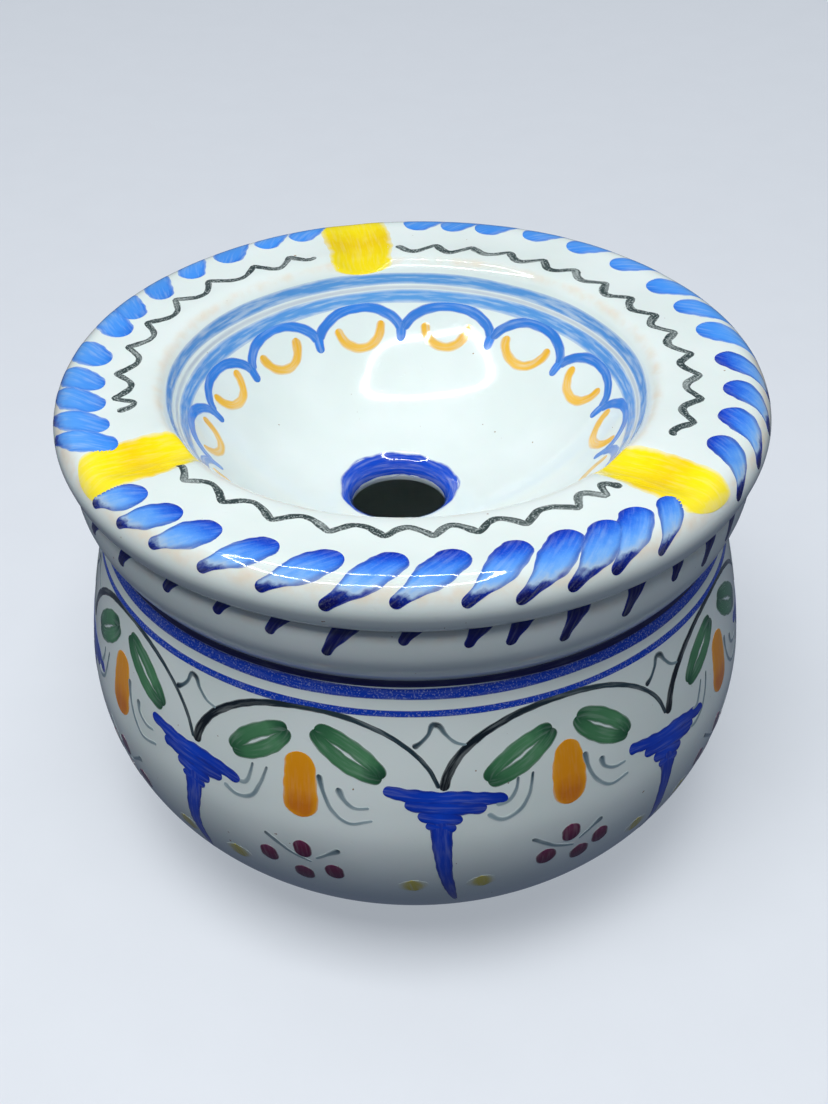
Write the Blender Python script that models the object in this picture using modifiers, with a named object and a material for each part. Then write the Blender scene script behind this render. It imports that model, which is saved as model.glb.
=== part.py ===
"""Two-piece glazed ceramic ashtray with a lift-off lid: a round pot and a funnel lid.

The pot stands on its foot ring at z = 0 and opens upwards. The lid rests on the pot's rim by the
lower edge of its skirt, and a locating ring under it drops inside the pot's mouth. Its funnel dish
leads to one central hole, and three shallow grooves across its ring are cigarette rests.
Metres, +Z up, the axis of both pieces is the Z axis, and -Y is the side with no rest on it.
"""

import math

import bmesh
import bpy
from mathutils import Matrix, Vector

MM = 0.001

# Overall heights and radii.
TOTAL_HEIGHT = 103.5 * MM       # foot to the top of the lid's rolled edge
LID_RADIUS = 69.5 * MM          # widest part of the lid's rolled edge
BELLY_RADIUS = 68.2 * MM        # widest part of the pot's belly
BELLY_HEIGHT = 42.5 * MM        # height of that widest part
MOUTH_RADIUS = 56.0 * MM        # clear mouth of the pot
SEAT_HEIGHT = 92.0 * MM         # top of the pot's rim, which carries the lid
HOLE_RADIUS = 9.5 * MM          # central hole of the lid
TOUCH_GAP = 0.3 * MM            # gap left between touching faces
TURN_STEPS = 48                 # segments round every turned piece

# The pot's outline.
FOOT_RADIUS = 42.0 * MM
FOOT_INNER_RADIUS = 35.0 * MM
FOOT_RECESS = 2.0 * MM
FLOOR_TOP = 8.0 * MM            # inside floor
WALL = 5.5 * MM
BELLY_LOWER_AXES = (40.0 * MM, 41.0 * MM)    # radial and upright half axes of its lower part
FOOT_JOIN_HEIGHT = 4.0 * MM     # where the belly's arc meets the foot
SHOULDER_HEIGHT = 75.5 * MM     # where it turns in to the groove
SHOULDER_DROP = 6.0 * MM        # how much narrower the belly is there than at its widest
RIM_RADIUS = 66.8 * MM

# The lid's outline: a rolled edge, a flat ring inside it, and the funnel.
ROLL_RADIUS = 5.7 * MM
ROLL_CENTRE_RADIUS = LID_RADIUS - ROLL_RADIUS
RING_DROP = 0.3 * MM            # the ring falls this far from the rolled edge to its lip
LIP_RADIUS = 50.0 * MM          # where the ring turns down into the funnel
SKIRT_FOOT_RADIUS = 66.0 * MM
SKIRT_WALL = 5.4 * MM
PLATE = 5.0 * MM
FUNNEL_TOP_RADIUS = 46.0 * MM
FUNNEL_TOP = 99.2 * MM          # height of the funnel's bowl under the lip
FUNNEL_FLOOR = 75.6 * MM        # and at the hole
LOCATING_RADIUS = 55.2 * MM     # locating ring, outside
LOCATING_WALL = 3.6 * MM
LOCATING_FOOT = 86.0 * MM

# The three rests: directions in degrees from +X, and the round bar that shapes them. They slope
# down towards the funnel, so they are deeper at the lip than on the rolled edge.
REST_ANGLES = (101.5, 211.0, 320.0)
REST_BAR_RADIUS = 9.5 * MM
REST_LIP_DEPTH = 2.2 * MM
REST_EDGE_DEPTH = 0.8 * MM
REST_BAR_START = 44.0 * MM
REST_BAR_END = 76.0 * MM

CERAMIC_WHITE = (0.80, 0.82, 0.80, 1.0)


def clear_scene():
    """Remove whatever the start-up file holds."""
    for item in list(bpy.data.objects):
        bpy.data.objects.remove(item, do_unlink=True)


def make_collection(name):
    collection = bpy.data.collections.new(name)
    bpy.context.scene.collection.children.link(collection)
    return collection


def glaze(name, colour, roughness):
    """Principled glaze for one piece."""
    material = bpy.data.materials.new(name)
    material.use_nodes = True
    shader = material.node_tree.nodes["Principled BSDF"]
    shader.inputs["Base Color"].default_value = colour
    shader.inputs["Roughness"].default_value = roughness
    shader.inputs["Metallic"].default_value = 0.0
    return material


def arc(centre, axes, start, end, steps):
    """Points (r, z) on an elliptic arc from angle start to end, in degrees from +r."""
    points = []
    for i in range(steps + 1):
        angle = math.radians(start + (end - start) * i / steps)
        points.append((centre[0] + axes[0] * math.cos(angle), centre[1] + axes[1] * math.sin(angle)))
    return points


def turn(name, outline, collection):
    """Turned solid: the outline (r, z) runs down its outer side, and a Screw modifier turns it."""
    mesh = bpy.data.meshes.new(name)
    vertices = [(radius, 0.0, height) for radius, height in outline]
    count = len(vertices)
    closed = outline[0][0] > 0.0
    edges = [(i, (i + 1) % count) for i in range(count if closed else count - 1)]
    mesh.from_pydata(vertices, edges, [])
    piece = bpy.data.objects.new(name, mesh)
    collection.objects.link(piece)
    screw = piece.modifiers.new("turn", "SCREW")
    screw.axis = "Z"
    screw.angle = math.tau
    screw.steps = TURN_STEPS
    screw.render_steps = TURN_STEPS
    screw.use_merge_vertices = True
    screw.merge_threshold = 0.00001
    screw.use_smooth_shade = True
    return piece


def belly_radius(height):
    """Outside radius of the belly: a quarter ellipse below its widest part, a flatter curve above."""
    if height < BELLY_HEIGHT:
        across, upright = BELLY_LOWER_AXES
        rise = (BELLY_HEIGHT - height) / upright
        return BELLY_RADIUS - across * (1.0 - math.sqrt(1.0 - rise * rise))
    share = (height - BELLY_HEIGHT) / (SHOULDER_HEIGHT - BELLY_HEIGHT)
    return BELLY_RADIUS - SHOULDER_DROP * share ** 1.5


def pot_outline():
    """From the axis inside the pot, over the rim, down the outside and back to the axis."""
    inner_rim = [
        (MOUTH_RADIUS, SEAT_HEIGHT - 1.5 * MM),
        (MOUTH_RADIUS + 1.5 * MM, SEAT_HEIGHT),
    ]
    rim = arc((RIM_RADIUS - 3.4 * MM, SEAT_HEIGHT - 3.4 * MM), (3.4 * MM, 3.4 * MM), 90.0, 0.0, 4)
    groove = [
        (RIM_RADIUS - 0.2 * MM, SEAT_HEIGHT - 6.5 * MM),
        (RIM_RADIUS - 1.2 * MM, SEAT_HEIGHT - 9.5 * MM),
        (RIM_RADIUS - 2.8 * MM, SEAT_HEIGHT - 12.4 * MM),
        (RIM_RADIUS - 4.4 * MM, SEAT_HEIGHT - 14.2 * MM),
        (RIM_RADIUS - 4.9 * MM, SEAT_HEIGHT - 14.8 * MM),
    ]
    belly = []
    steps = 12
    for i in range(steps + 1):
        height = SHOULDER_HEIGHT + (FOOT_JOIN_HEIGHT - SHOULDER_HEIGHT) * i / steps
        belly.append((belly_radius(height), height))
    foot = [
        (FOOT_RADIUS, 0.8 * MM),
        (FOOT_RADIUS - 0.8 * MM, 0.0),
        (FOOT_INNER_RADIUS, 0.0),
        (FOOT_INNER_RADIUS - 1.5 * MM, FOOT_RECESS),
        (0.0, FOOT_RECESS),
    ]
    inside = [(0.0, FLOOR_TOP), (34.0 * MM, FLOOR_TOP)]
    inner_steps = 6
    for i in range(inner_steps + 1):
        height = 13.0 * MM + (SHOULDER_HEIGHT - 13.0 * MM) * i / inner_steps
        inside.append((belly_radius(height) - WALL, height))
    inside.append((MOUTH_RADIUS, SEAT_HEIGHT - 9.0 * MM))
    return inside + inner_rim + rim + groove + belly + foot


def funnel_height(radius):
    """Height of the funnel's top surface: a bowl, steep under the lip and flatter at the hole."""
    share = (radius - HOLE_RADIUS) / (FUNNEL_TOP_RADIUS - HOLE_RADIUS)
    return FUNNEL_FLOOR + (FUNNEL_TOP - FUNNEL_FLOOR) * (0.2 * share + 0.8 * share ** 2.8)


def lid_outline():
    """Closed outline: the hole, up the funnel, across the ring, down the skirt, back underneath."""
    funnel = []
    steps = 7
    first_radius = HOLE_RADIUS + 2.2 * MM
    for i in range(steps + 1):
        radius = first_radius + (FUNNEL_TOP_RADIUS - first_radius) * i / steps
        funnel.append((radius, funnel_height(radius)))
    lip_height = TOTAL_HEIGHT - RING_DROP
    lip = [
        (LIP_RADIUS - 2.8 * MM, lip_height - 1.8 * MM),
        (LIP_RADIUS - 1.4 * MM, lip_height - 0.5 * MM),
        (LIP_RADIUS + 0.8 * MM, lip_height),
    ]
    roll_height = TOTAL_HEIGHT - ROLL_RADIUS
    roll = arc((ROLL_CENTRE_RADIUS, roll_height), (ROLL_RADIUS, ROLL_RADIUS), 90.0, -20.0, 8)
    seat = SEAT_HEIGHT + TOUCH_GAP
    skirt = [
        (SKIRT_FOOT_RADIUS + 2.1 * MM, seat + 1.3 * MM),
        (SKIRT_FOOT_RADIUS + 0.8 * MM, seat + 0.3 * MM),
        (SKIRT_FOOT_RADIUS - 0.6 * MM, seat),
        (SKIRT_FOOT_RADIUS - SKIRT_WALL + 0.8 * MM, seat),
        (SKIRT_FOOT_RADIUS - SKIRT_WALL, seat + 1.0 * MM),
        (SKIRT_FOOT_RADIUS - SKIRT_WALL, TOTAL_HEIGHT - PLATE - 2.0 * MM),
    ]
    locating = [
        (LOCATING_RADIUS + 1.6 * MM, TOTAL_HEIGHT - PLATE - 2.0 * MM),
        (LOCATING_RADIUS, TOTAL_HEIGHT - PLATE - 4.0 * MM),
        (LOCATING_RADIUS, LOCATING_FOOT + 0.6 * MM),
        (LOCATING_RADIUS - 0.6 * MM, LOCATING_FOOT),
        (LOCATING_RADIUS - LOCATING_WALL, LOCATING_FOOT),
        (LOCATING_RADIUS - LOCATING_WALL, TOTAL_HEIGHT - PLATE - 5.5 * MM),
    ]
    under = []
    under_steps = 5
    outer_radius = FUNNEL_TOP_RADIUS + 2.6 * MM
    for i in range(under_steps + 1):
        radius = outer_radius + (HOLE_RADIUS + 3.0 * MM - outer_radius) * i / under_steps
        under.append((radius, funnel_height(radius - 2.0 * MM) - PLATE))
    spout = [
        (HOLE_RADIUS + 2.4 * MM, FUNNEL_FLOOR - 5.5 * MM),
        (HOLE_RADIUS + 0.5 * MM, FUNNEL_FLOOR - 5.5 * MM),
        (HOLE_RADIUS, FUNNEL_FLOOR - 5.0 * MM),
        (HOLE_RADIUS, FUNNEL_FLOOR - 1.6 * MM),
        (HOLE_RADIUS + 0.7 * MM, FUNNEL_FLOOR - 0.4 * MM),
    ]
    return funnel + lip + roll + skirt + locating + under + spout


def rest_cutter(name, angle, collection):
    """Round bar lying along a radius, whose lower side shapes one cigarette rest."""
    mesh = bpy.data.meshes.new(name)
    shape = bmesh.new()
    bmesh.ops.create_cone(
        shape,
        cap_ends=True,
        segments=32,
        radius1=REST_BAR_RADIUS,
        radius2=REST_BAR_RADIUS,
        depth=REST_BAR_END - REST_BAR_START,
    )
    shape.to_mesh(mesh)
    shape.free()
    bar = bpy.data.objects.new(name, mesh)
    lip_floor = TOTAL_HEIGHT - RING_DROP - REST_LIP_DEPTH
    edge_floor = TOTAL_HEIGHT - REST_EDGE_DEPTH
    slope = math.atan2(edge_floor - lip_floor, ROLL_CENTRE_RADIUS - LIP_RADIUS)
    middle = (REST_BAR_START + REST_BAR_END) / 2.0
    floor = lip_floor + (middle - LIP_RADIUS) * math.tan(slope)
    lift = Vector((-math.sin(slope), 0.0, math.cos(slope))) * REST_BAR_RADIUS
    place = Matrix.Translation(Vector((middle, 0.0, floor)) + lift)
    tilt = Matrix.Rotation(math.pi / 2.0 - slope, 4, "Y")
    bar.matrix_world = Matrix.Rotation(math.radians(angle), 4, "Z") @ place @ tilt
    bar.hide_render = True
    bar.display_type = "WIRE"
    collection.objects.link(bar)
    return bar


def cut(piece, cutter):
    boolean = piece.modifiers.new("cut " + cutter.name, "BOOLEAN")
    boolean.operation = "DIFFERENCE"
    boolean.solver = "EXACT"
    boolean.object = cutter


def make_pot(collection):
    pot = turn("pot", pot_outline(), collection)
    pot.data.materials.append(glaze("pot_glaze", CERAMIC_WHITE, 0.12))
    return pot


def make_lid(collection, cutters):
    lid = turn("lid", lid_outline(), collection)
    lid.data.materials.append(glaze("lid_glaze", CERAMIC_WHITE, 0.10))
    for number, angle in enumerate(REST_ANGLES):
        cut(lid, rest_cutter("rest_bar_%d" % (number + 1), angle, cutters))
    return lid


def main():
    clear_scene()
    parts = make_collection("lidded_ashtray")
    cutters = make_collection("cutters")
    make_pot(parts)
    make_lid(parts, cutters)


main()
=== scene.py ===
"""Looks of the lidded ashtray: white tin glaze, hand-painted strokes, light and camera.

Lengths are millimetres unless a name says otherwise; only the finished meshes are in metres. Angles
are degrees round the axis, from the front (-Y), positive to the right (+X). Paint is placed by its
angle and by its distance s along the outline of the piece that it is on. Every brush stroke is a
thin raised film of its own, with its place along and across the brush kept as attributes, which the
pigment materials read.
"""

import math
import random

import bmesh
import bpy
import numpy as np
from mathutils import Matrix, Vector


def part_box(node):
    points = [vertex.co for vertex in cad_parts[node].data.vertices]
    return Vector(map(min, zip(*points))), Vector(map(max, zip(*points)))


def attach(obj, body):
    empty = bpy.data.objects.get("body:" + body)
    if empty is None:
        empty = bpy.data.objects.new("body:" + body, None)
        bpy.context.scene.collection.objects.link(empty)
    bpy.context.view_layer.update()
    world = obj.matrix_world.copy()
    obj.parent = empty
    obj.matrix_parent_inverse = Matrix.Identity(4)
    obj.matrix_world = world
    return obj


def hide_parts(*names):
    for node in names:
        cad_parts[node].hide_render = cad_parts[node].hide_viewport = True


MM = 0.001

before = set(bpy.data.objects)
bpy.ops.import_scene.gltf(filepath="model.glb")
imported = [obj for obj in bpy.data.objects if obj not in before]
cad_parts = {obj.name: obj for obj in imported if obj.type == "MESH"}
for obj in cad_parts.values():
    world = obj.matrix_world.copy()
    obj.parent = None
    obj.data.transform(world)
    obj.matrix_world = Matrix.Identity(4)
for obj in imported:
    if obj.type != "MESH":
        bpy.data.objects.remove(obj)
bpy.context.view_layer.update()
lid_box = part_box("lid")
pot_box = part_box("pot")

# Driving sizes, from the frame.
TOP = lid_box[1][2] / MM            # top of the lid's rolled edge
LID_RADIUS = lid_box[1][0] / MM     # its widest part
SEAT = pot_box[1][2] / MM           # top of the pot's rim, which carries the lid
TOUCH_GAP = 0.3

# The lid: rolled edge, flat ring, lip, funnel and hole.
ROLL_RADIUS = 5.7
ROLL_CENTRE = LID_RADIUS - ROLL_RADIUS
RING_DROP = 0.3
LIP_RADIUS = 50.0
FUNNEL_TOP_RADIUS = 46.0
FUNNEL_TOP = TOP - 4.3
HOLE_RADIUS = 9.5
FUNNEL_FLOOR = TOP - 27.9
FUNNEL_WALL = 5.0
LID_UNDERSIDE = TOP - 7.0
SEAT_INSIDE = 60.6                  # where the lid's flat seat ends and its hollow starts
LOCATING_RADIUS = 55.2
LOCATING_FOOT = 86.0
HOLE_SHIFT = (-2.2, 1.0)            # the hole was cut a little off centre ...
LIP_SHIFT = (-0.8, 0.0)             # ... and so was the lip

# The rests: a round bar's shape, pressed deeper at the lip than on the rolled edge.
REST_ANGLES = (-168.5, -59.0, 50.0)
REST_BAR = 9.5
REST_LIP_DEPTH = 2.2
REST_EDGE_DEPTH = 0.8
REST_SOFTNESS = 0.35

# The pot.
BELLY_RADIUS = 68.2
BELLY_HEIGHT = 42.5
BELLY_LOWER_AXES = (40.0, 41.0)
SHOULDER_HEIGHT = 75.5
SHOULDER_DROP = 6.0
GROOVE = (61.9, 77.2)
RIM_RADIUS = 66.8
MOUTH_RADIUS = 56.0
POT_WALL = 5.5
POT_FLOOR = 8.0
FOOT_RADIUS = 42.0
FOOT_RECESS = 2.1

# Meshes: points per turn of the two bodies, and the grids of the brush strokes.
TURNS = 360
FILM_LIFT = 0.022                   # a stroke's edge stands this far above the glaze ...
FILM_CROWN = 0.020                  # ... and its middle this much higher again
OVER_STEMS = 0.04                   # the berries' edge, which lies over the stems
FILM_STAGGER = 0.0012               # strokes that cross each other differ by steps of this
FILM_LEVELS = 9
FILM_DEPTH = 0.10                   # how far a film reaches down into the glaze
BRUSH_COLUMN = 0.75                 # width of one column of a stroke's faces

# Nine painted arches stand on these columns.
COLUMNS = (-38.0, 4.0, 45.5, 85.0, 124.5, 164.0, 203.5, 243.0, 282.5)
# Cusps of the funnel's scallops.
CUSPS = (-178.5, -151.5, -125.0, -99.5, -73.0, -47.5, -22.5, 2.5, 27.0, 51.5, 75.5, 98.5, 126.0, 152.5)

# Under each arch, in turn: left leaf and right leaf, each from its start to its end, and the
# berries. All are places (turn, s); leaves turn from the arch's middle and berries from the petal.
LEAVES = (
    (((-12.0, 19.9), (-2.3, 12.2)), ((2.2, 11.2), (13.2, 19.9)),
     ((-0.2, 39.7), (-6.0, 44.0), (5.2, 44.9), (-0.6, 47.6))),
    (((-13.2, 21.2), (-2.2, 12.8)), ((2.2, 12.8), (11.8, 21.0)),
     ((0.7, 38.6), (-3.4, 43.8), (2.7, 46.6), (6.5, 43.4))),
)
# Grey curls beside each petal and the stems of its berries: (turn, s, half width) along each.
CURLS = (
    ((-8.1, 21.8, 0.30), (-8.6, 24.5, 0.42), (-9.9, 26.6, 0.5), (-11.6, 27.0, 0.5)),
    ((-5.8, 21.5, 0.28), (-6.6, 26.0, 0.42), (-8.4, 29.5, 0.5), (-10.9, 30.4, 0.5), (-13.0, 28.9, 0.6)),
    ((3.2, 20.6, 0.75), (3.7, 24.0, 0.48), (5.4, 28.4, 0.45), (8.0, 30.5, 0.42), (11.8, 29.7, 0.36)),
    ((6.2, 23.0, 0.85), (7.1, 25.4, 0.48), (8.9, 27.1, 0.42), (11.4, 26.8, 0.32)),
)
STEMS = (
    ((-6.3, 37.3, 0.55), (-4.7, 38.8, 0.5), (-1.8, 41.4, 0.42), (1.4, 43.0, 0.3)),
    ((6.3, 37.9, 0.85), (4.7, 39.3, 0.5), (2.2, 41.6, 0.34)),
)

dice = random.Random(7)


# ---------- Outlines and surfaces ----------

def smooth_curve(points, step):
    """A smooth curve through the points (any number of columns), read every step of its length."""
    points = np.asarray(points, float)
    span = np.linalg.norm(np.diff(points[:, :2], axis=0), axis=1)
    slope = np.diff(points, axis=0) / span[:, None]
    tangent = np.empty_like(points)
    tangent[0] = slope[0]
    tangent[-1] = slope[-1]
    before = span[:-1, None]
    after = span[1:, None]
    tangent[1:-1] = (slope[:-1] * after + slope[1:] * before) / (before + after)
    rows = [points[:1]]
    for i, length in enumerate(span):
        count = max(1, int(round(length / step)))
        t = (np.arange(1, count + 1) / count)[:, None]
        rows.append(
            (2 * t ** 3 - 3 * t ** 2 + 1) * points[i]
            + (t ** 3 - 2 * t ** 2 + t) * length * tangent[i]
            + (3 * t ** 2 - 2 * t ** 3) * points[i + 1]
            + (t ** 3 - t ** 2) * length * tangent[i + 1]
        )
    return np.concatenate(rows)


def distance_along(line):
    steps = np.linalg.norm(np.diff(line[:, :2], axis=0), axis=1)
    return np.concatenate([[0.0], np.cumsum(steps)])


def thinned(line, longest, bend):
    """Only the points that a curve needs: no span over longest, none turning more than bend degrees."""
    kept = [0]
    span = np.diff(line, axis=0)
    heading = np.unwrap(np.arctan2(span[:, 1], span[:, 0]))
    for i in range(1, len(line) - 1):
        far = np.linalg.norm(line[i] - line[kept[-1]]) >= longest
        turned = abs(heading[i] - heading[kept[-1]]) >= math.radians(bend)
        if far or turned:
            kept.append(i)
    return line[kept + [len(line) - 1]]


def smoothstep(low, high, value):
    t = np.clip((value - low) / (high - low), 0.0, 1.0)
    return t * t * (3.0 - 2.0 * t)


class Outline:
    """A turned outline (r, z), read by the distance s along it from its origin."""

    def __init__(self, points, origin_index):
        self.line = smooth_curve(points, 0.1)
        self.s = distance_along(self.line)
        origin = np.asarray(points[origin_index], float)
        self.s = self.s - self.s[np.argmin(np.linalg.norm(self.line - origin, axis=1))]

    def at(self, s):
        return np.interp(s, self.s, self.line[:, 0]), np.interp(s, self.s, self.line[:, 1])

    def at_radius(self, radius):
        """s where the outline first reaches a radius."""
        return float(self.s[np.argmax(self.line[:, 0] >= radius)])


class Surface:
    """An outline turned round the axis, with the maker's unevenness from its own shape function."""

    def __init__(self, outline, shape):
        self.outline = outline
        self.shape = shape

    def place(self, angle, s):
        radius, height = self.outline.at(s)
        return self.shape(angle, radius, height)

    def normal(self, angle, s):
        along = self.place(angle, s + 0.1) - self.place(angle, s - 0.1)
        around = self.place(angle + 0.1, s) - self.place(angle - 0.1, s)
        cross = np.cross(along, around)
        return cross / np.linalg.norm(cross, axis=-1, keepdims=True)


def polar(angle, radius, height):
    phi = np.radians(angle)
    return np.stack([radius * np.sin(phi), -radius * np.cos(phi), height + 0.0 * phi], axis=-1)


def funnel_height(radius):
    share = (radius - HOLE_RADIUS) / (FUNNEL_TOP_RADIUS - HOLE_RADIUS)
    return FUNNEL_FLOOR + (FUNNEL_TOP - FUNNEL_FLOOR) * (0.2 * share + 0.8 * share ** 2.8)


def lid_face():
    """The lid's glazed face, from the foot of the hole's wall out over the roll to the skirt."""
    points = [
        (HOLE_RADIUS + 0.3, FUNNEL_FLOOR - 5.3),
        (HOLE_RADIUS, FUNNEL_FLOOR - 4.2),
        (HOLE_RADIUS + 0.3, FUNNEL_FLOOR - 2.5),
        (HOLE_RADIUS + 1.2, FUNNEL_FLOOR - 1.1),
        (HOLE_RADIUS + 2.5, FUNNEL_FLOOR - 0.1),
    ]
    points += [(float(r), funnel_height(float(r))) for r in range(15, 46, 5)]
    points += [
        (FUNNEL_TOP_RADIUS + 0.1, FUNNEL_TOP + 0.2),
        (LIP_RADIUS - 2.9, TOP - 2.1),
        (LIP_RADIUS - 1.5, TOP - 0.8),
        (LIP_RADIUS + 0.6, TOP - RING_DROP),
        (LIP_RADIUS + 5.0, TOP - RING_DROP + 0.05),
        (LIP_RADIUS + 10.0, TOP - RING_DROP + 0.15),
    ]
    for turn in range(90, -21, -10):
        bend = math.radians(turn)
        rise = ROLL_RADIUS * math.sin(bend)
        points.append((ROLL_CENTRE + ROLL_RADIUS * math.cos(bend), TOP - ROLL_RADIUS + rise))
    points += [
        (RIM_RADIUS + 1.5, SEAT + TOUCH_GAP + 1.6),
        (RIM_RADIUS + 0.4, SEAT + TOUCH_GAP + 0.5),
        (RIM_RADIUS - 0.8, SEAT + TOUCH_GAP),
    ]
    return points


def lid_underside():
    """Seat, locating ring and the funnel's outside, back to the foot of the hole's wall."""
    seat = SEAT + TOUCH_GAP
    points = [
        (SEAT_INSIDE + 0.8, seat),
        (SEAT_INSIDE, seat + 0.8),
        (SEAT_INSIDE, LID_UNDERSIDE),
        (LOCATING_RADIUS + 1.6, LID_UNDERSIDE),
        (LOCATING_RADIUS, LID_UNDERSIDE - 1.6),
        (LOCATING_RADIUS, LOCATING_FOOT + 0.7),
        (LOCATING_RADIUS - 0.7, LOCATING_FOOT),
        (LOCATING_RADIUS - 2.9, LOCATING_FOOT),
        (LOCATING_RADIUS - 3.6, LOCATING_FOOT + 0.7),
        (LOCATING_RADIUS - 3.6, LID_UNDERSIDE - 3.5),
    ]
    points += [(float(r), funnel_height(r - 2.0) - FUNNEL_WALL) for r in range(48, 12, -4)]
    foot = FUNNEL_FLOOR - FUNNEL_WALL - 0.5
    points += [(HOLE_RADIUS + 2.4, foot), (HOLE_RADIUS + 0.8, foot)]
    return points


def rest_floor(angle, radius, height):
    """Lowers the height where a rest's round bar was pressed into the soft clay."""
    lip_floor = TOP - RING_DROP - REST_LIP_DEPTH
    slope = (TOP - REST_EDGE_DEPTH - lip_floor) / (ROLL_CENTRE - LIP_RADIUS)
    for rest in REST_ANGLES:
        turn = np.radians(angle - rest)
        aside = np.abs(radius * np.sin(turn))
        ahead = radius * np.cos(turn)
        rise = REST_BAR - np.sqrt(np.maximum(REST_BAR ** 2 - aside ** 2, 0.0))
        bar = lip_floor + (ahead - LIP_RADIUS) * slope + rise
        bar = np.where((ahead > 0.0) & (aside < REST_BAR - 0.5), bar, TOP + 50.0)
        height = height - REST_SOFTNESS * np.log1p(np.exp((height - bar) / REST_SOFTNESS))
    return height


def shape_lid(angle, radius, height):
    """Turned lid with its pressed rests, its shifted hole and lip, and a slightly uneven ring."""
    angle = np.asarray(angle, float)
    lowered = np.where(height > TOP - 12.0, rest_floor(angle, radius, height), height)
    phi = np.radians(angle)
    uneven = 0.10 * np.sin(3.0 * phi + 1.0) + 0.06 * np.sin(7.0 * phi + 2.1)
    lowered = lowered + uneven * smoothstep(20.0, 60.0, radius) * smoothstep(SEAT + 1.0, TOP, height)
    lowered = lowered - 0.12
    wide = radius * (1.0 + 0.0008 * np.sin(2.0 * phi + 0.7))
    point = polar(angle, wide, lowered)
    lip = 1.0 - smoothstep(49.0, 55.0, radius)
    hole = 1.0 - smoothstep(14.0, 44.0, radius)
    point[..., 0] += LIP_SHIFT[0] * lip + HOLE_SHIFT[0] * hole
    point[..., 1] += LIP_SHIFT[1] * lip + HOLE_SHIFT[1] * hole
    return point


def belly_radius(height):
    if height < BELLY_HEIGHT:
        across, upright = BELLY_LOWER_AXES
        rise = (BELLY_HEIGHT - height) / upright
        return BELLY_RADIUS - across * (1.0 - math.sqrt(1.0 - rise * rise))
    share = (height - BELLY_HEIGHT) / (SHOULDER_HEIGHT - BELLY_HEIGHT)
    return BELLY_RADIUS - SHOULDER_DROP * share ** 1.5


RIM_POINTS = [
    (MOUTH_RADIUS, SEAT - 3.0),
    (MOUTH_RADIUS + 0.5, SEAT - 1.2),
    (MOUTH_RADIUS + 2.0, SEAT - 0.1),
    (MOUTH_RADIUS + 4.0, SEAT),
    (RIM_RADIUS - 2.6, SEAT),
    (RIM_RADIUS - 1.1, SEAT - 0.35),
    (RIM_RADIUS - 0.3, SEAT - 1.2),
    (RIM_RADIUS, SEAT - 2.6),
    (RIM_RADIUS, SEAT - 4.5),
    (RIM_RADIUS - 0.3, SEAT - 6.8),
    (RIM_RADIUS - 1.3, SEAT - 9.6),
    (RIM_RADIUS - 2.9, SEAT - 12.5),
    (RIM_RADIUS - 4.3, SEAT - 14.2),
]


def pot_face():
    """The pot's outside, from the mouth over the rim, through the groove and down to the foot."""
    points = RIM_POINTS + [GROOVE, (GROOVE[0] + 0.15, GROOVE[1] - 1.0)]
    heights = (74.0, 70.0, 64.0, 57.0, 50.0, 42.5, 35.0, 28.0, 22.0, 17.0, 13.0, 10.0, 7.0, 5.0)
    points += [(belly_radius(height), height) for height in heights]
    points += [(FOOT_RADIUS + 0.1, 3.4), (FOOT_RADIUS, 2.0)]
    return points + [(FOOT_RADIUS - 0.3, 0.7), (FOOT_RADIUS - 1.0, 0.0)]


def pot_rest():
    """Foot ring and recess, then the inside from its floor up to the mouth."""
    foot = [(36.0, 0.0), (35.2, 0.5), (34.0, 1.8), (32.5, FOOT_RECESS), (0.0, FOOT_RECESS)]
    inside = [(0.0, POT_FLOOR), (30.0, POT_FLOOR), (38.0, POT_FLOOR + 0.6), (45.0, POT_FLOOR + 2.6)]
    heights = (14.5, 20.0, 27.0, 35.0, 43.0, 52.0, 61.0, 69.0, 75.0)
    inside += [(belly_radius(height) - POT_WALL, height) for height in heights]
    return foot, inside + [(MOUTH_RADIUS + 0.1, 80.0), (MOUTH_RADIUS, SEAT - 6.0)]


def shape_pot(angle, radius, height):
    """Turned pot, very slightly out of round."""
    angle = np.asarray(angle, float)
    phi = np.radians(angle)
    wide = radius * (1.0 + 0.0010 * np.sin(2.0 * phi - 0.4) + 0.0005 * np.sin(5.0 * phi))
    return polar(angle, wide, height)


lid_outline = Outline(lid_face(), lid_face().index((LIP_RADIUS + 0.6, TOP - RING_DROP)))
lid_outline.s = lid_outline.s + 0.6         # so that s is the radius less 50 on the flat ring
pot_outline = Outline(pot_face(), len(RIM_POINTS))
SURFACES = {"lid": Surface(lid_outline, shape_lid), "pot": Surface(pot_outline, shape_pot)}


# ---------- Materials ----------

def rgb(red, green, blue):
    """A colour given as 0 to 255, as the linear colour that nodes use."""
    linear = []
    for value in (red, green, blue):
        share = value / 255.0
        linear.append(share / 12.92 if share <= 0.04045 else ((share + 0.055) / 1.055) ** 2.4)
    return (linear[0], linear[1], linear[2], 1.0)


GLAZE_WHITE = rgb(229, 239, 235)
GLAZE_SHADE = rgb(222, 233, 228)
GLAZE_WARM = rgb(226, 214, 192)
CLAY = rgb(196, 158, 122)


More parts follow.
